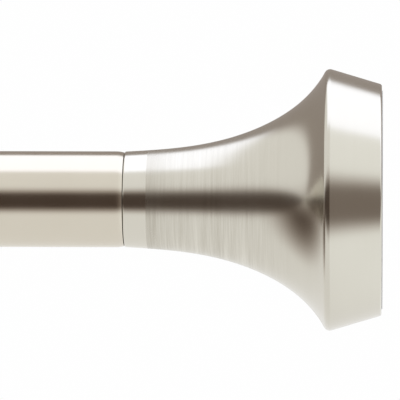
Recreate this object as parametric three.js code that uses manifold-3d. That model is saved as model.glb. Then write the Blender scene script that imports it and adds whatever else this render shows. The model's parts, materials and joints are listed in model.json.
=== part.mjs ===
// A telescoping curtain rod that is held between two walls: two tubes, a twist lock with a spring behind it,
// and a trumpet-shaped wall bracket on each end that swivels on the tube and presses a rubber pad on the wall.
// Millimetres, +Z up. The rod lies along X, and the origin is the centre of the right bracket's wall face.
import * as THREE from "three";
import { mergeVertices } from "three/addons/utils/BufferGeometryUtils.js";
import Module from "manifold-3d";

const wasm = await Module();
wasm.setup();

// ---- driving dimensions ----
const CLOSED_LENGTH = 660; // wall face to wall face, telescoped in
const TUBE_SHOWING = 25; // inner tube left showing when telescoped in
const GAP = 0.3; // clearance between neighbouring pieces
const CHAMFER = 0.6; // on the moulded pieces and the bolt heads

const OUTER = { radius: 12.7, wall: 0.6 };
const INNER = { radius: 11.1, wall: 0.8 };
OUTER.bore = OUTER.radius - OUTER.wall;
INNER.bore = INNER.radius - INNER.wall;

// The bracket's trumpet, measured from the seam where it meets the tube.
const FLARE_LENGTH = 53.5; // seam to rim
const FLANGE_LENGTH = 67.9; // seam to the shell's wall edge
const RIM_RADIUS = 34.87;
const MOUTH_RADIUS = 30.82; // where the tapering band meets its rounded wall edge
const NECK_TAPER = 0.0565; // radius gained per millimetre along the neck
const LIP_SHARE = 0.2; // part of the flare's rise that comes in the last few millimetres
const LIP_POWER = 13.5; // how late that part comes
const SHELL_WALL = 0.9;
const NECK_STEP = 0.1; // the neck starts this much under the tube's radius
const EDGE_ROUND = 0.8;

const PAD_PROUD = 0.25; // the rubber stands this far out of the shell
const PAD_THICKNESS = 3.4;
const PLATE_THICKNESS = 2.6;
const BACKING_RADIUS = 28.9; // pad and plate, which go in through the mouth
const SCREW_CIRCLE = 16;
const RIB_COUNT = 6;
const SCREW_COUNT = 3;

const SEAM_X = -(FLANGE_LENGTH + PAD_PROUD);
const LEFT_SEAM_X = -CLOSED_LENGTH - SEAM_X;
const OUTER_LEFT_X = LEFT_SEAM_X + TUBE_SHOWING;

// The lock and the spring, along X.
const LOCK_X = -125; // middle of the lock
const HOUSING_LENGTH = 34;
const SHOE_LENGTH = 18;
const SHOE_HALF_WIDTH = 7;
const SHOE_TRAVEL = 0.9;
const SHOE_RADIUS = OUTER.bore - GAP - SHOE_TRAVEL;
const CAM_LOW = 4.5; // half-height of the cam where it faces the shoes when unlocked
const JOURNAL_RADIUS = 3.4;
const SHAFT_SIDE = 6;
const BUSH_LIP = 1.4; // the guide bush covers the inner tube's end with this
const SPRING_TRAVEL = 20;
const INNER_RIGHT_X = -168;
const WASHER_X = INNER_RIGHT_X - 22; // the washer that the spring pushes on
const SPRING_LENGTH = 74; // at rest, in the rod
const SPRING_STOP_X = WASHER_X - SPRING_LENGTH;
const SHAFT_END_X = SPRING_STOP_X - 6;
const SPRING_WIRE = 1.1; // radius of the wire
const SPRING_RADIUS = 7.1; // radius of the coil at the middle of the wire
const SPRING_TURNS = 9;

const FINE = 32; // facets round a visible piece
const MIDDLE = 24; // facets round a piece inside the rod
const SMALL = 16; // facets round a small piece

// ---- materials ----
const material = (name, color, roughness, metalness) =>
  new THREE.MeshStandardMaterial({ name, color, roughness, metalness });
const satinNickel = material("satin_nickel", 0xc9c3b6, 0.3, 1);
const zincSteel = material("zinc_plated_steel", 0xb9bcbe, 0.35, 1);
const springSteel = material("spring_steel", 0x83868a, 0.4, 1);
const brass = material("brass", 0xc2a259, 0.35, 1);
const zincCasting = material("zinc_casting", 0x9b9da0, 0.5, 1);
const whiteNylon = material("white_nylon", 0xe6e3da, 0.5, 0);
const blackPolymer = material("black_polymer", 0x2a2a2c, 0.55, 0);
const greyRubber = material("grey_rubber", 0x9d9c98, 0.85, 0);

// ---- geometry helpers ----
// Turns an outline of [x, radius] points about X. It runs from axis to axis, or is closed on itself.
function turned(outline, facets = SMALL) {
  const points = outline.map(([x, radius]) => new THREE.Vector2(radius, x));
  if (THREE.ShapeUtils.area(points) < 0) points.reverse();
  const onAxis = points[0].x === 0 && points[points.length - 1].x === 0;
  if (!onAxis) points.push(points[0].clone());
  return new THREE.LatheGeometry(points, facets).rotateZ(-Math.PI / 2);
}

// A ring of rectangular section from x0 to x1.
function ring(x0, x1, innerRadius, outerRadius, facets) {
  const outline = [
    [x0, innerRadius],
    [x0, outerRadius],
    [x1, outerRadius],
    [x1, innerRadius],
  ];
  return turned(outline, facets);
}

// A plain round bar from x0 to x1, its axis moved to (y, z).
function bar(x0, x1, radius, y = 0, z = 0, facets = SMALL) {
  return new THREE.CylinderGeometry(radius, radius, Math.abs(x1 - x0), facets)
    .rotateZ(Math.PI / 2)
    .translate((x0 + x1) / 2, y, z);
}

// A block given by its lowest and highest corners.
function block(low, high) {
  const size = high.map((value, i) => value - low[i]);
  return new THREE.BoxGeometry(...size).translate(...low.map((value, i) => value + size[i] / 2));
}

// A geometry as a manifold-3d solid.
function solid(geometry) {
  const bare = geometry.clone();
  bare.deleteAttribute("normal");
  bare.deleteAttribute("uv");
  const merged = mergeVertices(bare, 1e-4);
  const vertProperties = merged.attributes.position.array;
  const triVerts = new Uint32Array(merged.index.array);
  return new wasm.Manifold(new wasm.Mesh({ numProp: 3, vertProperties, triVerts }));
}

// A manifold-3d solid as a geometry.
function geometryOf(manifold) {
  const { vertProperties, triVerts } = manifold.getMesh();
  return new THREE.BufferGeometry()
    .setAttribute("position", new THREE.BufferAttribute(vertProperties, 3))
    .setIndex(new THREE.BufferAttribute(triVerts, 1));
}

// Joins a list of geometries, then cuts another list away.
function joined(added, removed = []) {
  const whole = added.map(solid).reduce((sum, next) => sum.add(next));
  return geometryOf(removed.map(solid).reduce((rest, next) => rest.subtract(next), whole));
}

function piece(name, geometry, finish) {
  const mesh = new THREE.Mesh(geometry, finish);
  mesh.name = name;
  return mesh;
}

// ---- the trumpet ----
function flareRadius(neck, s) {
  const u = s / FLARE_LENGTH;
  const rise = RIM_RADIUS - neck - NECK_TAPER * FLARE_LENGTH;
  return neck + NECK_TAPER * s + rise * ((1 - LIP_SHARE) * u ** 3 + LIP_SHARE * u ** LIP_POWER);
}

// Points along the flare, moved inwards by depth at right angles to it, closer together towards the rim.
function flareLine(neck, depth, count, from, to) {
  const step = 1e-3;
  const line = [];
  for (let i = 0; i <= count; i++) {
    const s = from + (to - from) * (1 - (1 - i / count) ** 1.5);
    const slope = (flareRadius(neck, s + step) - flareRadius(neck, s - step)) / (2 * step);
    const length = Math.hypot(1, slope);
    line.push([s + (depth * slope) / length, flareRadius(neck, s) - depth / length]);
  }
  return line;
}

function flangeShell(neck) {
  const outside = [
    [0, neck - EDGE_ROUND],
    [0.3 * EDGE_ROUND, neck - 0.3 * EDGE_ROUND],
    ...flareLine(neck, 0, 11, EDGE_ROUND, FLARE_LENGTH),
    [FLANGE_LENGTH - EDGE_ROUND, MOUTH_RADIUS],
    [FLANGE_LENGTH, MOUTH_RADIUS - EDGE_ROUND],
  ];
  const inside = [
    ...flareLine(neck, SHELL_WALL, 6, EDGE_ROUND, FLARE_LENGTH - 1.5),
    [FLARE_LENGTH + EDGE_ROUND, RIM_RADIUS - 1.4 * SHELL_WALL],
    [FLANGE_LENGTH, MOUTH_RADIUS - 1.2 * SHELL_WALL - EDGE_ROUND / 2],
  ];
  return turned([...outside, ...inside.reverse(), [0, neck - SHELL_WALL]], FINE);
}

// Where the core, the plate and the pad lie behind each other, from the seam.
const PAD_BACK = FLANGE_LENGTH + PAD_PROUD - PAD_THICKNESS;
const PLATE_FRONT = PAD_BACK - GAP;
const PLATE_BACK = PLATE_FRONT - PLATE_THICKNESS;
const CORE_FRONT = PLATE_BACK - GAP;
const CORE_BORE = 6.6;
const HUB_RADIUS = 8.8;
const NOSE_RADIUS = 7.6; // the core's nose turns in the tube plug
const NOSE_LENGTH = 3.2;
const WEB_FRONT = 6; // the web that the pivot bolt bears on
const WEB_THICKNESS = 4;
const RIB_THICKNESS = 2;
const RIM_RING = 3; // the core's rim ring is this wide and this long
const POST_RADIUS = 3.4; // round a plate screw
const SHOULDER_RADIUS = 3;
const SCREW_RADIUS = 1.3;
const SCREW_LENGTH = 12;

const screwPlace = (i) => {
  const angle = Math.PI / 2 + (i * 2 * Math.PI) / SCREW_COUNT;
  return [SCREW_CIRCLE * Math.cos(angle), SCREW_CIRCLE * Math.sin(angle)];
};

// One rib of the core: it follows the shell's inside, and stays narrow enough to go in through the mouth.
function coreRib(neck, angle) {
  const follow = flareLine(neck, SHELL_WALL + GAP, 7, WEB_FRONT, FLARE_LENGTH - 2);
  const edge = follow.filter(([, radius]) => radius < BACKING_RADIUS);
  const outline = [
    [follow[0][0], HUB_RADIUS - 1],
    ...edge,
    [CORE_FRONT, BACKING_RADIUS],
    [CORE_FRONT, HUB_RADIUS - 1],
  ];
  const shape = new THREE.Shape(outline.map(([s, radius]) => new THREE.Vector2(s, radius)));
  return new THREE.ExtrudeGeometry(shape, { depth: RIB_THICKNESS, bevelEnabled: false })
    .translate(0, 0, -RIB_THICKNESS / 2)
    .rotateX(angle);
}

function flangeCore(neck) {
  const neckFit = neck - SHELL_WALL - GAP;
  const hub = turned([
    [-NOSE_LENGTH, SHOULDER_RADIUS + GAP],
    [-NOSE_LENGTH, NOSE_RADIUS],
    [GAP, NOSE_RADIUS],
    [GAP, neckFit],
    [WEB_FRONT + WEB_THICKNESS, neckFit],
    [WEB_FRONT + WEB_THICKNESS, HUB_RADIUS],
    [CORE_FRONT, HUB_RADIUS],
    [CORE_FRONT, CORE_BORE],
    [WEB_FRONT, CORE_BORE],
    [WEB_FRONT, SHOULDER_RADIUS + GAP],
  ]);
  const rim = ring(CORE_FRONT - RIM_RING, CORE_FRONT, BACKING_RADIUS - RIM_RING, BACKING_RADIUS, MIDDLE);
  const ribs = [];
  for (let i = 0; i < RIB_COUNT; i++) ribs.push(coreRib(neck, ((i + 0.5) * 2 * Math.PI) / RIB_COUNT));
  const posts = [];
  const pilots = [];
  for (let i = 0; i < SCREW_COUNT; i++) {
    const [y, z] = screwPlace(i);
    posts.push(bar(CORE_FRONT - SCREW_LENGTH - 2, CORE_FRONT, POST_RADIUS, y, z, 12));
    pilots.push(bar(CORE_FRONT - SCREW_LENGTH, CORE_FRONT + 1, SCREW_RADIUS + GAP, y, z, 12));
  }
  return joined([hub, rim, ...ribs, ...posts], pilots);
}

const HEAD_RADIUS = 3.1; // of a plate screw
const HEAD_HEIGHT = 1.3;
const RECESS_DEPTH = 0.6; // the cross recess in its head
const RECESS_HALF_LENGTH = 2.2;
const RECESS_HALF_WIDTH = 0.4;

function padPlate() {
  const disc = ring(PLATE_BACK, PLATE_FRONT, CORE_BORE, BACKING_RADIUS, FINE);
  const holes = [];
  for (let i = 0; i < SCREW_COUNT; i++) {
    const [y, z] = screwPlace(i);
    const seat = PLATE_FRONT - HEAD_HEIGHT - GAP;
    holes.push(bar(PLATE_BACK - 1, PLATE_FRONT + 1, SCREW_RADIUS + GAP, y, z, 12));
    holes.push(bar(seat, PLATE_FRONT + 1, HEAD_RADIUS + GAP, y, z, 12));
  }
  return joined([disc], holes);
}

function plateScrew(i) {
  const [y, z] = screwPlace(i);
  const tip = CORE_FRONT - SCREW_LENGTH + 1;
  const head = PLATE_FRONT - GAP / 2;
  const outline = [
    [tip, 0],
    [tip + 1.5, SCREW_RADIUS],
    [head - HEAD_HEIGHT + GAP / 2, SCREW_RADIUS],
    [head - HEAD_HEIGHT + GAP / 2, HEAD_RADIUS],
    [head - 0.4, HEAD_RADIUS],
    [head, HEAD_RADIUS - 0.8],
    [head, 0],
  ];
  const slot = block(
    [head - RECESS_DEPTH, -RECESS_HALF_WIDTH, -RECESS_HALF_LENGTH],
    [head + 1, RECESS_HALF_WIDTH, RECESS_HALF_LENGTH],
  );
  const cross = slot.clone().rotateX(Math.PI / 2);
  return joined([turned(outline, 12)], [slot, cross]).translate(0, y, z);
}

const GROOVE_RADII = [23, 15];
const GROOVE_DEPTH = 0.9;
const GROOVE_HALF_WIDTH = 0.8; // at the face; the floor is narrower by the draft
const GROOVE_DRAFT = 0.3;

function wallPad() {
  const face = FLANGE_LENGTH + PAD_PROUD;
  const floor = face - GROOVE_DEPTH;
  const floorHalf = GROOVE_HALF_WIDTH - GROOVE_DRAFT;
  const outline = [
    [PAD_BACK, 0],
    [PAD_BACK, BACKING_RADIUS],
    [face - 0.3, BACKING_RADIUS],
    [face, BACKING_RADIUS - 0.3],
  ];
  for (const radius of GROOVE_RADII) {
    outline.push([face, radius + GROOVE_HALF_WIDTH]);
    outline.push([floor, radius + floorHalf]);
    outline.push([floor, radius - floorHalf]);
    outline.push([face, radius - GROOVE_HALF_WIDTH]);
  }
  outline.push([face, 0]);
  return turned(outline, FINE);
}

const THREAD_RADIUS = 2.4;
const INSERT_RADIUS = 4.6;
const INSERT_FRONT = -NOSE_LENGTH - 2.5;
const INSERT_LENGTH = 12;
const INSERT_GROOVE = 0.5; // depth of the groove round its middle
const WASHER_THICKNESS = 1.2;
const BOLT_HEAD_RADIUS = 5.2;
const BOLT_HEAD_HEIGHT = 4;
const SOCKET_RADIUS = 2.5; // across the corners of the hexagon, halved
const SOCKET_DEPTH = 2.5;

function pivotWasher() {
  const back = WEB_FRONT + GAP;
  return ring(back, back + WASHER_THICKNESS, SHOULDER_RADIUS + GAP, CORE_BORE - 0.6);
}

function pivotBolt() {
  const head = WEB_FRONT + 2 * GAP + WASHER_THICKNESS;
  const top = head + BOLT_HEAD_HEIGHT;
  const tip = INSERT_FRONT - INSERT_LENGTH + 1;
  const shoulder = INSERT_FRONT + 1;
  const outline = [
    [tip, 0],
    [tip + 1, THREAD_RADIUS],
    [shoulder, THREAD_RADIUS],
    [shoulder, SHOULDER_RADIUS],
    [head, SHOULDER_RADIUS],
    [head, BOLT_HEAD_RADIUS],
    [top - CHAMFER, BOLT_HEAD_RADIUS],
    [top, BOLT_HEAD_RADIUS - CHAMFER],
    [top, 0],
  ];
  const socket = bar(top - SOCKET_DEPTH, top + 1, SOCKET_RADIUS, 0, 0, 6);
  return joined([turned(outline)], [socket]);
}

const SKIRT_LENGTH = 7; // the plug's hollow tail
const SKIRT_WALL = 2;

// The plug pressed into a tube's end: the core's nose turns in its front, the threaded insert sits behind.
function tubePlug(bore) {
  const radius = bore - GAP;
  const floor = -NOSE_LENGTH - GAP;
  const insertBack = INSERT_FRONT - INSERT_LENGTH - GAP;
  const tail = insertBack - SKIRT_LENGTH;
  return turned(
    [
      [-2 * GAP, radius],
      [-2 * GAP, NOSE_RADIUS + GAP],
      [floor, NOSE_RADIUS + GAP],
      [floor, SHOULDER_RADIUS + GAP],
      [INSERT_FRONT + GAP, SHOULDER_RADIUS + GAP],
      [INSERT_FRONT + GAP, INSERT_RADIUS + GAP],
      [insertBack, INSERT_RADIUS + GAP],
      [insertBack, radius - SKIRT_WALL],
      [tail, radius - SKIRT_WALL],
      [tail, radius - CHAMFER],
      [tail + CHAMFER, radius],
    ],
    MIDDLE,
  );
}

function plugInsert() {
  const middle = INSERT_FRONT - INSERT_LENGTH / 2;
  const back = INSERT_FRONT - INSERT_LENGTH;
  return turned([
    [INSERT_FRONT, THREAD_RADIUS + GAP],
    [INSERT_FRONT, INSERT_RADIUS - 0.4],
    [INSERT_FRONT - 1, INSERT_RADIUS],
    [middle + 1, INSERT_RADIUS],
    [middle, INSERT_RADIUS - INSERT_GROOVE],
    [middle - 1, INSERT_RADIUS],
    [back, INSERT_RADIUS],
    [back, THREAD_RADIUS + GAP],
  ]);
}

// One end of the rod, built from the seam towards the wall.
function rodEnd(side, tubeName, tube) {
  const neck = tube.radius - NECK_STEP;
  const end = new THREE.Group();
  end.add(piece(`${side}_wall_pad`, wallPad(), greyRubber));
  end.add(piece(`${side}_pad_plate`, padPlate(), whiteNylon));
  end.add(piece(`${side}_flange_shell`, flangeShell(neck), satinNickel));
  end.add(piece(`${side}_flange_core`, flangeCore(neck), blackPolymer));
  end.add(piece(`${side}_pivot_washer`, pivotWasher(), whiteNylon));
  end.add(piece(`${side}_pivot_bolt`, pivotBolt(), zincSteel));
  for (let i = 0; i < SCREW_COUNT; i++)
    end.add(piece(`${side}_plate_screw_${i + 1}`, plateScrew(i), zincSteel));
  end.add(piece(`${tubeName}_end_plug`, tubePlug(tube.bore), blackPolymer));
  end.add(piece(`${tubeName}_plug_insert`, plugInsert(), brass));
  return end;
}

// ---- the tubes ----
const ROLL_LENGTH = 2.6; // the tube's seam end is rolled in over this length
const ROLL_DEPTH = 0.35;

// A tube from its seam end to its open end.
function tubeShape(seamX, openX, tube) {
  const inward = Math.sign(openX - seamX);
  return turned(
    [
      [seamX, tube.radius - ROLL_DEPTH],
      [seamX + (inward * ROLL_LENGTH) / 3, tube.radius - ROLL_DEPTH / 3],
      [seamX + inward * ROLL_LENGTH, tube.radius],
      [openX, tube.radius],
      [openX, tube.bore],
      [seamX, tube.bore],
    ],
    FINE,
  );
}

const COLLAR_LIP = 1.4;
const COLLAR_SLEEVE = 15; // length inside the outer tube

// Guides the inner tube in the mouth of the outer one.
function tubeCollar() {
  const lipFront = OUTER_LEFT_X + COLLAR_LIP;
  const sleeveEnd = lipFront + COLLAR_SLEEVE;
  return turned(
    [
      [OUTER_LEFT_X, INNER.radius + GAP],
      [OUTER_LEFT_X, OUTER.radius - CHAMFER],
      [OUTER_LEFT_X + CHAMFER, OUTER.radius],
      [lipFront, OUTER.radius],
      [lipFront, OUTER.bore - GAP],
      [sleeveEnd, OUTER.bore - GAP],
      [sleeveEnd, INNER.radius + GAP],
    ],
    FINE,
  );
}

// ---- the twist lock ----
function lockHousing() {
  const half = HOUSING_LENGTH / 2;
  const radius = OUTER.bore - 2 * GAP;
  const body = turned(
    [
      [LOCK_X - half, JOURNAL_RADIUS + GAP],
      [LOCK_X - half, radius - CHAMFER],
      [LOCK_X - half + CHAMFER, radius],
      [LOCK_X + half - CHAMFER, radius],
      [LOCK_X + half, radius - CHAMFER],
      [LOCK_X + half, JOURNAL_RADIUS + GAP],
    ],
    MIDDLE,
  );
  const windowHalf = SHOE_LENGTH / 2 + GAP;
  const side = SHOE_HALF_WIDTH + GAP;
  const reach = OUTER.radius;
  const window = block([LOCK_X - windowHalf, -side, -reach], [LOCK_X + windowHalf, side, reach]);
  return joined([body], [window]);
}

const SHOE_RIBS = 4;
const SHOE_RIB_DEPTH = 0.7;
const SHOE_RIB_FLANK = 0.6;

// A friction shoe: flat where it faces the cam, ribbed and round where it grips the outer tube.
function lockShoe(sign) {
  const half = SHOE_LENGTH / 2;
  const outline = [[LOCK_X - half, 0]];
  const pitch = SHOE_LENGTH / SHOE_RIBS;
  for (let i = 0; i < SHOE_RIBS; i++) {
    const start = LOCK_X - half + i * pitch;
    outline.push([start, SHOE_RADIUS - SHOE_RIB_DEPTH]);
    outline.push([start + SHOE_RIB_FLANK, SHOE_RADIUS]);
    outline.push([start + pitch - SHOE_RIB_FLANK, SHOE_RADIUS]);
  }
  outline.push([LOCK_X + half, SHOE_RADIUS - SHOE_RIB_DEPTH]);
  outline.push([LOCK_X + half, 0]);
  const round = solid(turned(outline, FINE));
  const flat = CAM_LOW + GAP;
  const low = [LOCK_X - half - 1, -SHOE_HALF_WIDTH, sign > 0 ? flat : -OUTER.radius];
  const high = [LOCK_X + half + 1, SHOE_HALF_WIDTH, sign > 0 ? OUTER.radius : -flat];
  return geometryOf(round.intersect(solid(block(low, high))));
}

// An oval cam, low side towards the shoes when unlocked; a quarter turn brings the high side round.
function lockCam() {
  const shape = new THREE.Shape();
  shape.absellipse(0, 0, CAM_LOW, CAM_LOW + SHOE_TRAVEL, 0, 2 * Math.PI, false, 0);
  const hole = new THREE.Path();
  hole.absarc(0, 0, JOURNAL_RADIUS + GAP, 0, 2 * Math.PI, true);
  shape.holes.push(hole);
  return new THREE.ExtrudeGeometry(shape, { depth: SHOE_LENGTH, bevelEnabled: false, curveSegments: 12 })
    .rotateY(Math.PI / 2)
    .translate(LOCK_X - SHOE_LENGTH / 2, 0, 0);
}

const SHAFT_COLLAR_RADIUS = 5;
const SHAFT_OVERHANG = 5; // the shaft's end past the housing, where the clip sits

// Round through the lock, square through the guide bush, so that turning the inner tube turns the cam.
function plungerShaft() {
  const squareStart = INNER_RIGHT_X + SPRING_TRAVEL + BUSH_LIP + 2;
  const tip = LOCK_X + HOUSING_LENGTH / 2 + SHAFT_OVERHANG;
  const journal = turned([
    [squareStart - 1, 0],
    [squareStart - 1, JOURNAL_RADIUS],
    [tip - 1, JOURNAL_RADIUS],
    [tip, JOURNAL_RADIUS - 1],
    [tip, 0],
  ]);
  const collar = bar(squareStart - 1, squareStart + 1, SHAFT_COLLAR_RADIUS);
  const half = SHAFT_SIDE / 2;
  const square = block([SHAFT_END_X, -half, -half], [squareStart, half, half]);
  return joined([journal, collar, square]);
}

const CLIP_WIDTH = 3;

function shaftClip() {
  const start = LOCK_X + HOUSING_LENGTH / 2 + 1.5;
  return ring(start, start + WASHER_THICKNESS, JOURNAL_RADIUS + GAP, JOURNAL_RADIUS + CLIP_WIDTH);
}

const BUSH_SLEEVE = 16; // length inside the inner tube

function guideBush() {
  const radius = INNER.bore - GAP;
  const front = INNER_RIGHT_X + GAP + BUSH_LIP;
  const end = INNER_RIGHT_X - BUSH_SLEEVE;
  const body = turned(
    [
      [front, 0],
      [front, INNER.radius - CHAMFER],
      [front - CHAMFER, INNER.radius],
      [INNER_RIGHT_X + GAP, INNER.radius],
      [INNER_RIGHT_X + GAP, radius],
      [end + CHAMFER, radius],
      [end, radius - CHAMFER],
      [end, 0],
    ],
    MIDDLE,
  );
  const half = SHAFT_SIDE / 2 + GAP;
  return joined([body], [block([end - 1, -half, -half], [front + 1, half, half])]);
}

const SHAFT_CORNER = (SHAFT_SIDE / 2) * Math.SQRT2;

const NUT_RADIUS = 7.2;
const NUT_THICKNESS = 1;
const NUT_X = WASHER_X + WASHER_THICKNESS + GAP;

const pushNut = () => ring(NUT_X, NUT_X + NUT_THICKNESS, SHAFT_CORNER + GAP, NUT_RADIUS);
const springWasher = () => ring(WASHER_X, WASHER_X + WASHER_THICKNESS, SHAFT_CORNER + GAP, SPRING_RADIUS + 1.7);

const STOP_FLOOR = 3;
const STOP_LENGTH = 8;

// The stop is a cup that stands on a crimp in the inner tube, and the shaft runs through its floor.
function springStop() {
  const radius = INNER.bore - GAP;
  return turned(
    [
      [SPRING_STOP_X, SHAFT_CORNER + GAP],
      [SPRING_STOP_X, radius],
      [SPRING_STOP_X - STOP_LENGTH, radius],
      [SPRING_STOP_X - STOP_LENGTH, radius - 2],
      [SPRING_STOP_X - STOP_FLOOR, radius - 2],
      [SPRING_STOP_X - STOP_FLOOR, SHAFT_CORNER + GAP],
    ],
    MIDDLE,
  );
}

const END_CLOSING = 0.04; // how much the end turns are closed up
const WIRE_SIDES = 6;
const STEPS_PER_TURN = 12;

// The helix of the pressure spring, its first and last turn closed up.
class SpringLine extends THREE.Curve {
  getPoint(t, target = new THREE.Vector3()) {
    const clear = SPRING_WIRE + GAP;
    const start = WASHER_X - clear;
    const end = SPRING_STOP_X + clear;
    const closed = END_CLOSING * Math.sin(2 * Math.PI * t);
    const angle = 2 * Math.PI * SPRING_TURNS * t;
    return target.set(
      start + (end - start) * (t - closed),
      SPRING_RADIUS * Math.cos(angle),
      SPRING_RADIUS * Math.sin(angle),
    );
  }
}

function mainSpring() {
  const section = new THREE.Shape();
  for (let i = 0; i < WIRE_SIDES; i++) {
    const angle = (i * 2 * Math.PI) / WIRE_SIDES;
    const place = [SPRING_WIRE * Math.cos(angle), SPRING_WIRE * Math.sin(angle)];
    if (i === 0) section.moveTo(...place);
    else section.lineTo(...place);
  }
  const steps = STEPS_PER_TURN * SPRING_TURNS;
  return new THREE.ExtrudeGeometry(section, { extrudePath: new SpringLine(), steps, bevelEnabled: false });
}

// ---- assembly ----
const rod = new THREE.Group();

const rightEnd = rodEnd("right", "outer_tube", OUTER);
rightEnd.position.x = SEAM_X;
rod.add(rightEnd);

rod.add(piece("outer_tube", tubeShape(SEAM_X - GAP, OUTER_LEFT_X + COLLAR_LIP + GAP, OUTER), satinNickel));
rod.add(piece("outer_tube_collar", tubeCollar(), satinNickel));

rod.add(piece("lock_housing", lockHousing(), blackPolymer));
rod.add(piece("upper_lock_shoe", lockShoe(1), greyRubber));
rod.add(piece("lower_lock_shoe", lockShoe(-1), greyRubber));
rod.add(piece("lock_cam", lockCam(), zincCasting));
rod.add(piece("plunger_shaft", plungerShaft(), zincSteel));
rod.add(piece("shaft_clip", shaftClip(), springSteel));
rod.add(piece("spring_push_nut", pushNut(), springSteel));
rod.add(piece("spring_washer", springWasher(), zincSteel));
rod.add(piece("main_spring", mainSpring(), springSteel));

rod.add(piece("guide_bush", guideBush(), whiteNylon));
rod.add(piece("spring_stop", springStop(), zincCasting));
rod.add(piece("inner_tube", tubeShape(LEFT_SEAM_X + GAP, INNER_RIGHT_X, INNER), satinNickel));

const leftEnd = rodEnd("left", "inner_tube", INNER);
leftEnd.position.x = LEFT_SEAM_X;
leftEnd.rotation.z = Math.PI;
rod.add(leftEnd);

export default rod;
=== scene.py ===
"""A satin nickel tension curtain rod: fine meshes, materials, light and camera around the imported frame.

The rod lies along X with its right wall face at x = 0. Outlines are lists of points (x, radius) in
millimetres, turned about the rod's axis.
"""

import json
import math

import bmesh
import bpy
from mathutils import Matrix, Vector

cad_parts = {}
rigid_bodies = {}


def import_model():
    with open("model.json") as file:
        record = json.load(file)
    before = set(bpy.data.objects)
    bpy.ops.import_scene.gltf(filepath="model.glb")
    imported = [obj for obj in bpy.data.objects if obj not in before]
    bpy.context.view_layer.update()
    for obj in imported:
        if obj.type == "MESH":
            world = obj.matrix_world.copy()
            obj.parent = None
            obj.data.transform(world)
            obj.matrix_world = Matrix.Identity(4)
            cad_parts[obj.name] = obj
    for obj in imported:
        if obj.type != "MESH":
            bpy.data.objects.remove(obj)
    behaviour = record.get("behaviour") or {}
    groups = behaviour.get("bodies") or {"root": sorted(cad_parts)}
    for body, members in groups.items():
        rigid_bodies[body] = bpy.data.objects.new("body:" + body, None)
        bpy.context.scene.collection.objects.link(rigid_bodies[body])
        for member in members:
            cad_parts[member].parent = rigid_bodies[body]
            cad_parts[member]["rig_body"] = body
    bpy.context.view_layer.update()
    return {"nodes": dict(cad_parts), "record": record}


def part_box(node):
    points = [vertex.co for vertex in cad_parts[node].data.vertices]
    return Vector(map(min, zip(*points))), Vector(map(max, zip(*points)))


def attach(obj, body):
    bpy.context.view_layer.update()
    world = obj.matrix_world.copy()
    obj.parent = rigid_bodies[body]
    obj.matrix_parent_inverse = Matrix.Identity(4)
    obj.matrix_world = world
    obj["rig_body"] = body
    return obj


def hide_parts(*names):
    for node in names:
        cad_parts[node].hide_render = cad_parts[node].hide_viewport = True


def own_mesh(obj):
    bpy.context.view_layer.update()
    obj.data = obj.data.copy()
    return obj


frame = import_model()
NODES = frame["nodes"]
SLOTS = {part["node"]: part["material_slot"] for part in frame["record"]["subparts"]}
MM = 0.001

# ---- the trumpet's shape, in millimetres from the seam ----
FLARE_LENGTH = 53.5
RIM_RADIUS = 34.82
NECK_TAPER = 0.056
NECK_STEP = 0.06  # the neck starts this much under the tube's radius
LIP_SHARE = 0.2
LIP_POWER = 13.7
BAND_SLOPE = 0.299  # radius lost per millimetre behind the rim
SHELL_WALL = 0.9
RIM_ROUND = 1.6
WALL_EDGE_ROUND = 0.7
NECK_EDGE_ROUND = 0.6
RIM_CLEAR = 1.2  # the flare's own line stops this far short of the rim

GAP = 0.3
SEAM_GAP = 0.12  # what is left open of the seam once the tube's end is rolled in


class Axis:
    """Counts millimetres along the rod, towards the right wall (way 1) or the left one (way -1)."""

    def __init__(self, origin_x, way):
        self.origin_x = origin_x
        self.way = way

    def x(self, place):
        return self.origin_x + self.way * place * MM

    def span(self, node):
        """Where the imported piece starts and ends, and its radius."""
        low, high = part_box(node)
        start, end = sorted(self.way * (x - self.origin_x) / MM for x in (low.x, high.x))
        return start, end, (high.z - low.z) / 2 / MM


class End(Axis):
    """One end of the rod, counted from the seam between its tube and its bracket towards the wall."""

    def __init__(self, side, tube, way):
        low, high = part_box(f"{side}_flange_shell")
        super().__init__(low.x if way > 0 else high.x, way)
        self.side = side
        self.tube = tube


ENDS = [End("right", "outer_tube", 1), End("left", "inner_tube", -1)]
ROD = Axis(0, 1)


# ---- outlines ----
def arc(before, at, after, radius, count=8):
    """The points of the arc that rounds off the corner at `at`."""
    before, at, after = Vector(before), Vector(at), Vector(after)
    towards, away = (before - at).normalized(), (after - at).normalized()
    half = towards.angle(away) / 2
    centre = at + (towards + away).normalized() * radius / math.sin(half)
    start = at + towards * radius / math.tan(half) - centre
    end = at + away * radius / math.tan(half) - centre
    sweep = start.angle_signed(end)
    points = []
    for i in range(count + 1):
        turn = -sweep * i / count
        x = start.x * math.cos(turn) - start.y * math.sin(turn)
        y = start.x * math.sin(turn) + start.y * math.cos(turn)
        points.append((centre.x + x, centre.y + y))
    return points


def softened(corners, count=5):
    """Rounds each (x, radius, rounding) corner of an outline; a corner with no rounding stays sharp."""
    outline = []
    for i, (x, radius, rounding) in enumerate(corners):
        before, after = corners[i - 1][:2], corners[(i + 1) % len(corners)][:2]
        if rounding:
            outline += arc(before, (x, radius), after, rounding, count)
        else:
            outline.append((x, radius))
    return outline


def ring_outline(start, end, bore, radius, rounding):
    outside = [(start, radius, rounding), (end, radius, rounding)]
    return softened([(start, bore, 0), *outside, (end, bore, 0)])


def between(start, end, radius, step):
    """Evenly spaced points along a straight part."""
    count = max(1, round((end - start) / step))
    return [(start + (end - start) * i / count, radius) for i in range(count + 1)]


def flare_radius(neck, s):
    u = s / FLARE_LENGTH
    rise = RIM_RADIUS - neck - NECK_TAPER * FLARE_LENGTH
    return neck + NECK_TAPER * s + rise * ((1 - LIP_SHARE) * u**3 + LIP_SHARE * u**LIP_POWER)


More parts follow.
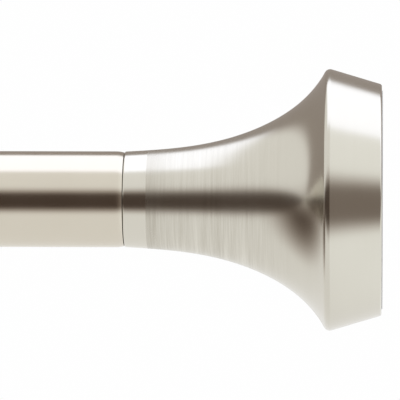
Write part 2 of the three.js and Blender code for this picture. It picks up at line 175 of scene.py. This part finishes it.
def flare_line(neck, depth, count, start, end):
    """Points along the flare, moved in by depth at right angles to it, closer towards the rim."""
    step = 1e-3
    line = []
    for i in range(count + 1):
        s = start + (end - start) * (1 - (1 - i / count) ** 1.4)
        slope = (flare_radius(neck, s + step) - flare_radius(neck, s - step)) / (2 * step)
        length = math.hypot(1, slope)
        line.append((s + depth * slope / length, flare_radius(neck, s) - depth / length))
    return line


def shell_outline(neck, length):
    """The bracket's shell, from the seam at 0 to its wall edge at length."""
    mouth = RIM_RADIUS - BAND_SLOPE * (length - FLARE_LENGTH)
    outside = flare_line(neck, 0, 60, NECK_EDGE_ROUND, FLARE_LENGTH - RIM_CLEAR)
    seam_edge = arc((0, neck - 3), (0, neck), outside[0], 0.8 * NECK_EDGE_ROUND)
    rim = arc(outside[-1], (FLARE_LENGTH, RIM_RADIUS), (length, mouth), RIM_ROUND, 10)
    wall_edge = arc((FLARE_LENGTH, RIM_RADIUS), (length, mouth), (length, mouth - 3), WALL_EDGE_ROUND)
    band = [(FLARE_LENGTH + 5, RIM_RADIUS - 5 * BAND_SLOPE)]
    inner_mouth = (length, mouth - 1.1 * SHELL_WALL - 0.3)
    inner_rim = (FLARE_LENGTH + RIM_CLEAR, RIM_RADIUS - 2 * SHELL_WALL)
    inside = flare_line(neck, SHELL_WALL, 24, NECK_EDGE_ROUND, FLARE_LENGTH - 2)
    outline = seam_edge + outside[1:] + rim + band + wall_edge
    return outline + [inner_mouth, inner_rim] + inside[::-1] + [(0, neck - SHELL_WALL)]


# ---- radius changes round the axis: each takes (x, radius, angle) and gives the radius there ----
def zigzag(place):
    """1 at whole numbers, falling evenly to 0 halfway between them."""
    return abs(2 * (place % 1) - 1)


def thread(x, radius, angle, start, end, pitch, depth):
    if not start < x < end:
        return radius
    return radius - depth * zigzag(x / pitch - angle / (2 * math.pi) + 0.5)


def polygon(radius, angle, sides):
    """The radius of a polygon whose corners lie on a circle of that radius."""
    sector = 2 * math.pi / sides
    return radius * math.cos(sector / 2) / math.cos(angle % sector - sector / 2)


def cross(angle, arm, half_width):
    """The radius of a cross-shaped recess."""
    across, up = max(1e-6, abs(math.cos(angle))), max(1e-6, abs(math.sin(angle)))
    return max(min(arm / across, half_width / up), min(arm / up, half_width / across))


def ellipse(angle, half_y, half_z):
    return half_y * half_z / math.hypot(half_z * math.cos(angle), half_y * math.sin(angle))


# ---- meshes ----
def smooth(mesh, angle=math.radians(32)):
    """Smooth shading, with edges sharper than the angle left crisp."""
    shape = bmesh.new()
    shape.from_mesh(mesh)
    bmesh.ops.recalc_face_normals(shape, faces=shape.faces)
    for face in shape.faces:
        face.smooth = True
    for edge in shape.edges:
        edge.smooth = len(edge.link_faces) == 2 and edge.calc_face_angle(0) < angle
    shape.to_mesh(mesh)
    shape.free()


def stands_for(piece, node, material):
    """Puts a piece in the place of a packed one, on its body and with the given material, and hides the
    packed one.
    """
    piece.data.materials.append(material)
    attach(piece, NODES[node]["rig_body"])
    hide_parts(node)
    return piece


def turned(node, axis, outline, material, facets=96, ripple=None):
    """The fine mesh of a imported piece, turned about the piece's middle from an outline along the axis."""
    low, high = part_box(node)
    middle = (low + high) / 2
    vertices, faces, rings = [], [], []
    for x, radius in outline:
        count = 1 if radius < 1e-4 else facets
        rings.append((len(vertices), count))
        for i in range(count):
            angle = 2 * math.pi * i / facets
            r = ripple(x, radius, axis.way * angle) if ripple and count > 1 else radius
            y, z = r * MM * math.cos(angle), r * MM * math.sin(angle)
            vertices.append((axis.x(x), middle.y + y, middle.z + z))
    closed = rings[0][1] > 1 or rings[-1][1] > 1
    for k in range(len(rings) - (0 if closed else 1)):
        (a, count_a), (b, count_b) = rings[k], rings[(k + 1) % len(rings)]
        for i in range(facets):
            j = (i + 1) % facets
            corners = [a + i % count_a, a + j % count_a, b + j % count_b, b + i % count_b]
            faces.append(list(dict.fromkeys(corners)))
    mesh = bpy.data.meshes.new(f"{node}_fine")
    mesh.from_pydata(vertices, [], faces)
    smooth(mesh)
    piece = bpy.data.objects.new(f"{node}_fine", mesh)
    bpy.context.scene.collection.objects.link(piece)
    return stands_for(piece, node, material)


# ---- material nodes ----
def add(tree, kind, sockets=(), **settings):
    """Adds a node; each socket is given a value, or another node's output to link."""
    node = tree.nodes.new(kind)
    for key, value in settings.items():
        setattr(node, key, value)
    for key, value in dict(sockets).items():
        if isinstance(value, bpy.types.NodeSocket):
            tree.links.new(value, node.inputs[key])
        else:
            node.inputs[key].default_value = value
    return node


def calc(tree, operation, *values):
    node = add(tree, "ShaderNodeMath", dict(enumerate(values)), operation=operation)
    return node.outputs[0]


def steps(tree, value, start, end):
    """0 before start and 1 after end, with an easy rise between; start and end may be sockets."""
    sockets = {"Value": value, "From Min": start, "From Max": end}
    return add(tree, "ShaderNodeMapRange", sockets, interpolation_type="SMOOTHSTEP").outputs[0]


def stretched_noise(tree, scale, detail=3, roughness=0.6):
    """Noise over the piece's own coordinates, with a scale in repeats per metre for each axis."""
    place = add(tree, "ShaderNodeTexCoord").outputs["Object"]
    vector = add(tree, "ShaderNodeMapping", {"Vector": place, "Scale": scale}).outputs["Vector"]
    sockets = {"Vector": vector, "Scale": 1, "Detail": detail, "Roughness": roughness}
    return add(tree, "ShaderNodeTexNoise", sockets).outputs["Fac"]


def mixed(tree, share, first, second):
    """Blends two colours; each may be a socket."""
    first, second = (c if isinstance(c, bpy.types.NodeSocket) else (*c, 1) for c in (first, second))
    return add(tree, "ShaderNodeMix", {0: share, 6: first, 7: second}, data_type="RGBA").outputs[2]


def new_material(name):
    material = bpy.data.materials.new(name)
    material.use_nodes = True
    tree = material.node_tree
    return material, tree, tree.nodes["Principled BSDF"]


def bumped(tree, shader, height, strength, distance):
    bump = add(tree, "ShaderNodeBump", {"Height": height, "Strength": strength, "Distance": distance})
    tree.links.new(bump.outputs["Normal"], shader.inputs["Normal"])


TUBE_LIGHT = (0.80, 0.755, 0.655)
TUBE_DARK = (0.50, 0.45, 0.365)
BRACKET_LIGHT = (0.77, 0.745, 0.665)
BRACKET_DARK = (0.48, 0.45, 0.38)
BRUSHED_FROM = (6.0, 6.3)  # the brushing starts here, in millimetres from the seam, with a crisp edge
BRUSHED_TO = (27, 48)  # and fades out over this stretch
COARSE_TO = (7, 15)  # it is densest, and darker, up to here
STREAK_FADE_HEIGHT = 0.012  # the brushing weakens from this far below the axis to this far above it, in metres
HAZE = (90, 60, 60)  # scales of the noise, in repeats per metre
FAINT_LINES = (2200, 20, 20)
FINE_LINES = (2600, 45, 45)
BROAD_LINES = (800, 30, 30)


def satin_nickel(name, end=None):
    """Satin nickel plate: smooth, but on a bracket brushed round the axis where the neck opens out."""
    material, tree, shader = new_material(name)
    haze = stretched_noise(tree, HAZE, detail=2, roughness=0.5)
    faint = stretched_noise(tree, FAINT_LINES, detail=3)
    swing = calc(tree, "MULTIPLY", calc(tree, "SUBTRACT", faint, 0.5), 0.05)
    shade = calc(tree, "MULTIPLY_ADD", haze, 0.1, 0.45)
    rough = calc(tree, "MULTIPLY_ADD", haze, 0.04, 0.165)
    light, dark = TUBE_LIGHT, TUBE_DARK
    if end:
        light, dark = BRACKET_LIGHT, BRACKET_DARK
        place = add(tree, "ShaderNodeTexCoord").outputs["Object"]
        split = add(tree, "ShaderNodeSeparateXYZ", {"Vector": place})
        x, z = split.outputs["X"], split.outputs["Z"]
        starts = steps(tree, x, *(end.x(s) for s in BRUSHED_FROM))
        lasts = steps(tree, x, *(end.x(s) for s in reversed(BRUSHED_TO)))
        brushed = calc(tree, "MULTIPLY", starts, lasts)
        fine = stretched_noise(tree, FINE_LINES, detail=4, roughness=0.75)
        broad = stretched_noise(tree, BROAD_LINES, detail=2)
        lines = calc(tree, "SUBTRACT", calc(tree, "MULTIPLY_ADD", broad, 0.5, fine), 0.75)
        # the brushing streaks grow fainter towards the top, from below the axis to above it
        streaks_fade_upwards = calc(tree, "MULTIPLY_ADD", steps(tree, z, -STREAK_FADE_HEIGHT, STREAK_FADE_HEIGHT), -0.65, 1)
        swing = calc(tree, "MULTIPLY_ADD", calc(tree, "MULTIPLY", lines, streaks_fade_upwards), brushed, swing)
        thins_out = steps(tree, x, *(end.x(s) for s in reversed(COARSE_TO)))
        coarse = calc(tree, "MULTIPLY", starts, thins_out)
        rough = calc(tree, "MULTIPLY_ADD", coarse, 0.04, rough)
        rough = calc(tree, "MULTIPLY_ADD", brushed, 0.05, rough)
        shade = calc(tree, "MULTIPLY_ADD", coarse, -0.2, shade)
        shade = calc(tree, "MULTIPLY_ADD", calc(tree, "SUBTRACT", 1, starts), 0.12, shade)
    shade = calc(tree, "MULTIPLY_ADD", swing, 1.2, shade)
    tree.links.new(mixed(tree, shade, dark, light), shader.inputs["Base Color"])
    tree.links.new(rough, shader.inputs["Roughness"])
    bumped(tree, shader, swing, 0.3, 5e-6)
    shader.inputs["Metallic"].default_value = 1
    return material


def metal(name, light, dark, rough, grain, depth):
    """A bare or plated metal; grain is the scale of its tool marks along each axis."""
    material, tree, shader = new_material(name)
    marks = stretched_noise(tree, grain, detail=4)
    tarnish = stretched_noise(tree, (120, 120, 120), detail=3)
    shade = calc(tree, "MULTIPLY_ADD", marks, 0.6, calc(tree, "MULTIPLY_ADD", tarnish, 0.8, -0.2))
    tree.links.new(mixed(tree, shade, dark, light), shader.inputs["Base Color"])
    tree.links.new(calc(tree, "MULTIPLY_ADD", tarnish, 0.2, rough - 0.1), shader.inputs["Roughness"])
    bumped(tree, shader, marks, 0.4, depth)
    shader.inputs["Metallic"].default_value = 1
    return material


def moulded(name, light, dark, rough, grain, depth):
    """Moulded rubber or plastic: a fine matte grain over faint mottling."""
    material, tree, shader = new_material(name)
    skin = stretched_noise(tree, (grain, grain, grain), detail=2)
    mottle = stretched_noise(tree, (grain / 12, grain / 12, grain / 12), detail=4)
    tree.links.new(mixed(tree, mottle, dark, light), shader.inputs["Base Color"])
    tree.links.new(calc(tree, "MULTIPLY_ADD", skin, 0.15, rough - 0.07), shader.inputs["Roughness"])
    bumped(tree, shader, skin, 0.5, depth)
    shader.inputs["Specular IOR Level"].default_value = 0.35
    return material


PLAIN = {
    "pad_rubber": moulded("pad_rubber", (0.60, 0.59, 0.56), (0.50, 0.49, 0.465), 0.8, 2600, 3e-5),
    "shoe_rubber": moulded(
        "shoe_rubber", (0.055, 0.055, 0.058), (0.035, 0.035, 0.038), 0.75, 2600, 3e-5
    ),
    "white_nylon": moulded("white_nylon", (0.82, 0.81, 0.76), (0.74, 0.73, 0.68), 0.42, 1500, 1e-5),
    "black_polymer": moulded(
        "black_polymer", (0.03, 0.03, 0.032), (0.018, 0.018, 0.02), 0.5, 1800, 2e-5
    ),
    "zinc_plated_steel": metal(
        "zinc_plated_steel", (0.66, 0.68, 0.71), (0.50, 0.52, 0.55), 0.32, (2000, 60, 60), 8e-6
    ),
    "brass": metal("brass", (0.80, 0.58, 0.26), (0.62, 0.42, 0.16), 0.3, (2000, 60, 60), 8e-6),
    "zinc_casting": metal(
        "zinc_casting", (0.44, 0.45, 0.46), (0.33, 0.34, 0.35), 0.5, (900, 900, 900), 2e-5
    ),
    "spring_steel": metal(
        "spring_steel", (0.34, 0.34, 0.35), (0.20, 0.20, 0.21), 0.34, (500, 500, 500), 6e-6
    ),
}
TUBE_NICKEL = satin_nickel("satin_nickel_tube")


# ---- the bracket and the tube end that it swivels on ----
def flange_shell(end):
    node = f"{end.side}_flange_shell"
    neck = end.span(end.tube)[2] - NECK_STEP
    outline = shell_outline(neck, end.span(node)[1])
    turned(node, end, outline, satin_nickel(f"satin_nickel_{end.side}", end), 192)


PAD_GROOVES = (23, 15)  # radii
GROOVE_DEPTH = 0.9


def wall_pad(end):
    """The pad, with its round grip grooves."""
    node = f"{end.side}_wall_pad"
    back, face, radius = end.span(node)
    corners = [(back, 0, 0), (back, radius, 0.2), (face, radius, 0.3)]
    for groove in PAD_GROOVES:
        corners += [
            (face, groove + 0.8, 0.15),
            (face - GROOVE_DEPTH, groove + 0.5, 0.2),
            (face - GROOVE_DEPTH, groove - 0.5, 0.2),
            (face, groove - 0.8, 0.15),
        ]
    corners.append((face, 0, 0))
    turned(node, end, softened(corners), PLAIN["pad_rubber"], 128)


BOLT_HEAD = 4
BOLT_SHOULDER_RADIUS = 3
BOLT_THREAD = {"radius": 2.4, "pitch": 0.8, "depth": 0.42}
SOCKET = 2.5  # half the hexagon's width across corners, and its depth
INSERT_KNURLS = 28
KNURL_DEPTH = 0.22
NOSE_RADIUS = 7.6
PLUG_RIBS = 12
RIB_HEIGHT = 0.3


def threaded(start, end, radius, pitch):
    """The straight part of a screw, with enough points to carry its thread."""
    return between(start, end, radius, pitch / 6)


def pivot_bolt(end):
    tip, top, head_radius = end.span(f"{end.side}_pivot_bolt")
    insert_front = end.span(f"{end.tube}_plug_insert")[1]
    shoulder, head = insert_front + 1, top - BOLT_HEAD
    radius, pitch = BOLT_THREAD["radius"], BOLT_THREAD["pitch"]
    outline = [(tip, 0), (tip, radius - 0.9)]
    outline += threaded(tip + 0.7, shoulder - 0.9, radius, pitch)
    outline += [(shoulder - 0.7, radius - 0.3), (shoulder, radius - 0.3)]
    outline += softened(
        [
            (shoulder, BOLT_SHOULDER_RADIUS, 0.2),
            (head, BOLT_SHOULDER_RADIUS, 0),
            (head, head_radius, 0.3),
            (top, head_radius, 0.5),
            (top, SOCKET, 0),
            (top - SOCKET, SOCKET, 0),
        ]
    )
    outline.append((top - SOCKET - 0.5, 0))

    def ripple(x, radius, angle):
        if x > head and radius <= SOCKET + 1e-6:
            return polygon(radius, angle, 6)
        return thread(x, radius, angle, tip + 0.6, shoulder - 0.8, pitch, BOLT_THREAD["depth"])

    turned(f"{end.side}_pivot_bolt", end, outline, PLAIN["zinc_plated_steel"], 72, ripple)


def pivot_washer(end):
    node = f"{end.side}_pivot_washer"
    start, front, radius = end.span(node)
    outline = ring_outline(start, front, BOLT_SHOULDER_RADIUS + GAP, radius, 0.25)
    turned(node, end, outline, PLAIN["white_nylon"])


def plug_insert(end):
    """A brass insert, knurled in two bands with a groove between them."""
    node = f"{end.tube}_plug_insert"
    back, front, radius = end.span(node)
    bore, middle = BOLT_THREAD["radius"] + GAP, (back + front) / 2
    outline = softened(
        [
            (back, bore, 0),
            (back, radius, 0.3),
            (middle - 1, radius, 0.1),
            (middle - 0.7, radius - 0.5, 0.1),
            (middle + 0.7, radius - 0.5, 0.1),
            (middle + 1, radius, 0.1),
            (front, radius, 0.6),
            (front, bore, 0),
        ]
    )

    def ripple(x, r, angle):
        return r - KNURL_DEPTH * zigzag(INSERT_KNURLS * angle / (2 * math.pi)) if r > radius - 0.3 else r

    turned(node, end, outline, PLAIN["brass"], 6 * INSERT_KNURLS, ripple)


def end_plug(end):
    """The plug in the tube: a socket for the core's nose, a pocket for the insert, and press ribs."""
    node = f"{end.tube}_end_plug"
    tail, front, radius = end.span(node)
    nose = end.span(f"{end.side}_flange_core")[0]
    insert_back, insert_front, insert_radius = end.span(f"{end.tube}_plug_insert")
    insert_back, insert_front, insert_radius = insert_back - GAP, insert_front + GAP, insert_radius + GAP
    nose_radius, shaft_hole, skirt = NOSE_RADIUS + GAP, BOLT_SHOULDER_RADIUS + GAP, radius - 2
    floor = nose - GAP
    outline = softened(
        [
            (front, nose_radius, 0.3),
            (floor, nose_radius, 0),
            (floor, shaft_hole, 0.2),
            (insert_front, shaft_hole, 0),
            (insert_front, insert_radius, 0),
            (insert_back, insert_radius, 0),
            (insert_back, skirt, 0),
            (tail, skirt, 0.2),
            (tail, radius, 0.7),
            (tail + 2.5, radius, 0),
            (tail + 2.8, radius - 0.02, 0),
            (front - 2.4, radius - 0.02, 0),
            (front - 2, radius, 0),
            (front, radius, 0.3),
        ]
    )

    def ripple(x, r, angle):
        ribbed = tail + 2.6 < x < front - 2.1 and r > radius - 0.1
        between_ribs = min(1, 2 * zigzag(PLUG_RIBS * angle / (2 * math.pi)))
        return r - RIB_HEIGHT * between_ribs if ribbed else r

    turned(node, end, outline, PLAIN["black_polymer"], 12 * PLUG_RIBS, ripple)


SCREW_HEAD = 1.25
SCREW_THREAD = {"radius": 1.3, "pitch": 1.1, "depth": 0.4}
RECESS = {"arm": 2.2, "half_width": 0.4, "depth": 0.6}


def plate_screw(end, node):
    tip, top, head_radius = end.span(node)
    head, radius, pitch = top - SCREW_HEAD, SCREW_THREAD["radius"], SCREW_THREAD["pitch"]
    outline = [(tip, 0)] + threaded(tip + 1.5, head, radius, pitch)
    outline += softened([(head, head_radius, 0.2), (top, head_radius, 0.6), (top, RECESS["arm"], 0)])
    outline += [(top - RECESS["depth"], RECESS["arm"]), (top - RECESS["depth"], 0)]

    def ripple(x, r, angle):
        if x > head + 0.1 and r <= RECESS["arm"] + 1e-6:
            return cross(angle, RECESS["arm"], RECESS["half_width"])
        return thread(x, r, angle, tip + 0.5, head - 1, pitch, SCREW_THREAD["depth"])

    turned(node, end, outline, PLAIN["zinc_plated_steel"], 72, ripple)


# ---- tubes ----
TUBE_WALLS = {"outer_tube": 0.6, "inner_tube": 0.8}
LIP_LENGTH = 1.4  # of the collar and the bush
ROLL_LENGTH = 2.4
ROLL_DEPTH = 0.3
ROLL_STEPS = 12
ROLL_POWER = 2.2


def tube(end):
    """A tube whose seam end is rolled in a little and closes most of the seam."""
    node = end.tube
    open_end, _, radius = end.span(node)
    bore = radius - TUBE_WALLS[node]
    outline = [(-SEAM_GAP, bore), (-SEAM_GAP, radius - ROLL_DEPTH - 0.15)]
    for i in range(ROLL_STEPS + 1):
        t = i / ROLL_STEPS
        outline.append((-SEAM_GAP - ROLL_LENGTH * t, radius - ROLL_DEPTH * (1 - t) ** ROLL_POWER))
    outline += [
        (-SEAM_GAP - 1.2 * ROLL_LENGTH, radius),
        (open_end + 0.4, radius),
        (open_end, radius - 0.15),
        (open_end, bore),
    ]
    turned(node, end, outline, TUBE_NICKEL, 192)


def tube_collar():
    """The lip that closes the outer tube's mouth round the inner one."""
    node = "outer_tube_collar"
    start, end, radius = ROD.span(node)
    bore, sleeve = ROD.span("inner_tube")[2] + GAP, radius - TUBE_WALLS["outer_tube"] - GAP
    lip = start + LIP_LENGTH
    corners = [
        (start, bore, 0.3),
        (start, radius, 0.5),
        (lip, radius, 0.15),
        (lip, sleeve, 0),
        (end, sleeve, 0.2),
        (end, bore, 0.2),
    ]
    turned(node, ROD, softened(corners), TUBE_NICKEL, 192)


# ---- the lock and the spring ----
SHAFT_JOURNAL = 3.4
SHAFT_SQUARE = 3  # half of the square part's side
SPRING_RING_BORE = 4.6


def simple_ring(node, bore, rounding, material):
    start, end, radius = ROD.span(node)
    turned(node, ROD, ring_outline(start, end, bore, radius, rounding), material)


def lock_cam():
    node = "lock_cam"
    start, end, half_z = ROD.span(node)
    low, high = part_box(node)
    half_y = (high.y - low.y) / 2 / MM
    bore = SHAFT_JOURNAL + GAP

    def ripple(x, r, angle):
        return r if r <= bore + 0.01 else r - half_z + ellipse(angle, half_y, half_z)

    turned(node, ROD, ring_outline(start, end, bore, half_z, 0.3), PLAIN["zinc_casting"], 96, ripple)


SHAFT_COLLAR_PAST_BUSH = 21.7


def plunger_shaft():
    """Square behind its collar, so that the guide bush turns it, and round through the lock."""
    node = "plunger_shaft"
    start, end, collar_radius = ROD.span(node)
    collar = ROD.span("guide_bush")[1] + SHAFT_COLLAR_PAST_BUSH
    corner = SHAFT_SQUARE * math.sqrt(2) - 0.25
    groove = ROD.span("shaft_clip")
    corners = [
        (start, 0, 0),
        (start, corner - 0.5, 0),
        (start + 0.5, corner, 0),
        (collar - 1, corner, 0),
        (collar - 1, collar_radius, 0.3),
        (collar + 1, collar_radius, 0.3),
        (collar + 1, SHAFT_JOURNAL, 0),
        (groove[0] - 0.15, SHAFT_JOURNAL, 0),
        (groove[0] - 0.15, SHAFT_JOURNAL - 0.6, 0),
        (groove[1] + 0.15, SHAFT_JOURNAL - 0.6, 0),
        (groove[1] + 0.15, SHAFT_JOURNAL, 0),
        (end, SHAFT_JOURNAL, 0.8),
        (end, 0, 0),
    ]

    def ripple(x, r, angle):
        if x > collar - 0.5 or r > corner + 0.01:
            return r
        return min(r, SHAFT_SQUARE / max(abs(math.cos(angle)), abs(math.sin(angle))))

    turned(node, ROD, softened(corners), PLAIN["zinc_plated_steel"], 96, ripple)


def guide_bush():
    node = "guide_bush"
    end, front, radius = ROD.span(node)
    sleeve = ROD.span("inner_tube")[2] - TUBE_WALLS["inner_tube"] - GAP
    hole = SHAFT_SQUARE + GAP
    lip = front - LIP_LENGTH
    corners = [
        (end, hole, 0),
        (end, sleeve, 0.6),
        (lip, sleeve, 0),
        (lip, radius, 0.2),
        (front, radius, 0.5),
        (front, hole, 0),
    ]

    def ripple(x, r, angle):
        return r if r > hole + 0.01 else hole / max(abs(math.cos(angle)), abs(math.sin(angle)))

    turned(node, ROD, softened(corners), PLAIN["white_nylon"], 96, ripple)


def spring_stop():
    node = "spring_stop"
    back, front, radius = ROD.span(node)
    bore, wall = SHAFT_SQUARE * math.sqrt(2) + GAP, radius - 2
    corners = [
        (front, bore, 0.3),
        (front, radius, 0.4),
        (back, radius, 0.4),
        (back, wall, 0.2),
        (front - 3, wall, 0.6),
        (front - 3, bore, 0),
    ]
    turned(node, ROD, softened(corners), PLAIN["zinc_casting"])


SPRING_TURNS = 9
SPRING_WIRE = 1.1
SPRING_POINTS = 36  # a turn
END_TURNS_CLOSED = 0.04


def main_spring():
    """A coil with its end turns closed up, built at one length; the real spring shortens as the inner tube
    is pushed in.
    """
    node = "main_spring"
    start, end, radius = ROD.span(node)
    length = end - start - 2 * SPRING_WIRE
    curve = bpy.data.curves.new(node, "CURVE")
    curve.dimensions = "3D"
    curve.bevel_depth = SPRING_WIRE * MM
    curve.bevel_resolution = 4
    curve.use_fill_caps = True
    count = SPRING_POINTS * SPRING_TURNS
    line = curve.splines.new("POLY")
    line.points.add(count)
    for i, point in enumerate(line.points):
        t = i / count
        x = end - SPRING_WIRE - length * (t - END_TURNS_CLOSED * math.sin(2 * math.pi * t))
        angle, coil = 2 * math.pi * SPRING_TURNS * t, radius - SPRING_WIRE
        point.co = (x * MM, coil * MM * math.cos(angle), coil * MM * math.sin(angle), 1)
    bent = bpy.data.objects.new(node, curve)
    mesh = bpy.data.meshes.new_from_object(bent)
    bpy.data.objects.remove(bent)
    smooth(mesh, math.radians(60))
    mesh.materials.clear()
    piece = bpy.data.objects.new(f"{node}_fine", mesh)
    bpy.context.scene.collection.objects.link(piece)
    stands_for(piece, node, PLAIN["spring_steel"])
    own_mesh(piece)


def build_visible():
    for node, part in NODES.items():
        part.data.materials.clear()
        part.data.materials.append(PLAIN.get(SLOTS[node], TUBE_NICKEL))
    for end in ENDS:
        flange_shell(end)
        wall_pad(end)
        pivot_bolt(end)
        pivot_washer(end)
        plug_insert(end)
        end_plug(end)
        tube(end)
        for i in (1, 2, 3):
            plate_screw(end, f"{end.side}_plate_screw_{i}")
    tube_collar()
    simple_ring("shaft_clip", SHAFT_JOURNAL - 0.4, 0.15, PLAIN["spring_steel"])
    simple_ring("spring_push_nut", SPRING_RING_BORE, 0.2, PLAIN["spring_steel"])
    simple_ring("spring_washer", SPRING_RING_BORE, 0.25, PLAIN["zinc_plated_steel"])
    lock_cam()
    plunger_shaft()
    guide_bush()
    spring_stop()
    main_spring()


# ---- stage ----
def blended(tree, share, first, second):
    return add(tree, "ShaderNodeMix", {0: share, 2: first, 3: second}, data_type="FLOAT").outputs[0]


def strip(tree, lean, limits, softness):
    """1 between two leans and 0 outside them; softness is half the width of each edge."""
    first, last = limits
    starts = steps(tree, lean, first - softness, first + softness)
    ends = steps(tree, lean, last + softness, last - softness)
    return calc(tree, "MULTIPLY", starts, ends)


# Each strip of the studio runs along the rod between two leans. Lean is the angle from straight up about
# the rod, in degrees: -90 is the camera's side and 90 is behind.
SOFTBOX_LEANS, SOFTBOX_SOFTNESS = (-20, 41), 4
ROOM_LEANS, ROOM_SOFTNESS = (-118, -70), 11
BACKDROP_LEANS, BACKDROP_SOFTNESS = (38, 90), 10
SOFTBOX_END = (-0.5, -0.33)  # of the direction's X, where the softbox stops on the left
FAR_LEFT = (-0.75, -1)
BELOW = (0.2, -0.2)  # of the direction's Z
RIGHT_SIDE = (0.1, 0.5)
WALL_LIGHT = 1.0
RIGHT_WALL_LIGHT = 1.15
FAR_LEFT_LIGHT = 0.1
BACKDROP_LIGHT = 0.38
ROOM_LIGHT = 0.08
RIGHT_ROOM_LIGHT = 0.25
SOFTBOX_COLOUR = (1.62, 1.68, 1.9)
WARMTH = (1, 1.13, 1.22)  # the dimmer the light, the warmer its colour
WHITE = 0.995


def studio_world():
    """Plain soft light: pale walls, a softbox above, a dim backdrop and a dark room past the camera."""
    world = bpy.data.worlds.new("studio")
    bpy.context.scene.world = world
    world.use_nodes = True
    tree = world.node_tree
    direction = add(tree, "ShaderNodeTexCoord").outputs["Generated"]
    split = add(tree, "ShaderNodeSeparateXYZ", {"Vector": direction})
    x, y, z = (split.outputs[k] for k in "XYZ")
    lean = calc(tree, "MULTIPLY", calc(tree, "ARCTAN2", y, z), 180 / math.pi)

    right = steps(tree, x, *RIGHT_SIDE)
    light = blended(tree, right, WALL_LIGHT, RIGHT_WALL_LIGHT)
    floor_left = calc(tree, "MULTIPLY", steps(tree, x, *FAR_LEFT), steps(tree, z, *BELOW))
    light = blended(tree, floor_left, light, FAR_LEFT_LIGHT)
    light = blended(tree, strip(tree, lean, BACKDROP_LEANS, BACKDROP_SOFTNESS), light, BACKDROP_LIGHT)
    room = blended(tree, right, ROOM_LIGHT, RIGHT_ROOM_LIGHT)
    light = blended(tree, strip(tree, lean, ROOM_LEANS, ROOM_SOFTNESS), light, room)
    softbox = strip(tree, lean, SOFTBOX_LEANS, SOFTBOX_SOFTNESS)
    softbox = calc(tree, "MULTIPLY", softbox, steps(tree, x, *SOFTBOX_END))

    warm = [calc(tree, "POWER", light, power) for power in WARMTH]
    tint = add(tree, "ShaderNodeCombineColor", dict(enumerate(warm))).outputs[0]
    tint = mixed(tree, softbox, tint, SOFTBOX_COLOUR)
    seen = add(tree, "ShaderNodeLightPath").outputs["Is Camera Ray"]
    shown = mixed(tree, seen, tint, (WHITE, WHITE, WHITE))
    tree.links.new(shown, tree.nodes["Background"].inputs["Color"])


FLOOR_RADIUS = 3
FLOOR_HEIGHT = -0.38


def floor():
    """A plain pale floor well below the rod, kept out of the metal's reflections."""
    bpy.ops.mesh.primitive_circle_add(vertices=96, radius=FLOOR_RADIUS, fill_type="NGON")
    ground = bpy.context.object
    ground.name = "floor"
    ground.location.z = FLOOR_HEIGHT
    ground.visible_glossy = False
    material, _, shader = new_material("pale_floor")
    shader.inputs["Base Color"].default_value = (0.86, 0.86, 0.85, 1)
    shader.inputs["Roughness"].default_value = 0.9
    ground.data.materials.append(material)


CAMERA_DISTANCE = 1.1
CAMERA_SIDE = math.radians(2.4)  # from the right
CAMERA_ROLL = math.radians(0.15)
FRAME_WIDTH = 0.1058  # seen at the rod
VIEW_PAST_SEAM = 0.0199  # the middle of the view lies this far right of the right seam
VIEW_DROP = 0.00012


def camera():
    data = bpy.data.cameras.new("camera")
    data.sensor_width = 36
    data.lens = data.sensor_width * CAMERA_DISTANCE / FRAME_WIDTH
    data.clip_start = 0.1
    data.clip_end = 50
    view = bpy.data.objects.new("camera", data)
    bpy.context.scene.collection.objects.link(view)
    back = Vector((math.sin(CAMERA_SIDE), -math.cos(CAMERA_SIDE), 0))
    aim = Vector((ENDS[0].origin_x + VIEW_PAST_SEAM, 0, -VIEW_DROP))
    view.location = aim + back * CAMERA_DISTANCE
    view.rotation_euler = (-back).to_track_quat("-Z", "Y").to_euler()
    view.rotation_euler.rotate_axis("Z", CAMERA_ROLL)
    bpy.context.scene.camera = view


camera()
studio_world()
floor()
bpy.context.scene.view_settings.view_transform = "Standard"
build_visible()
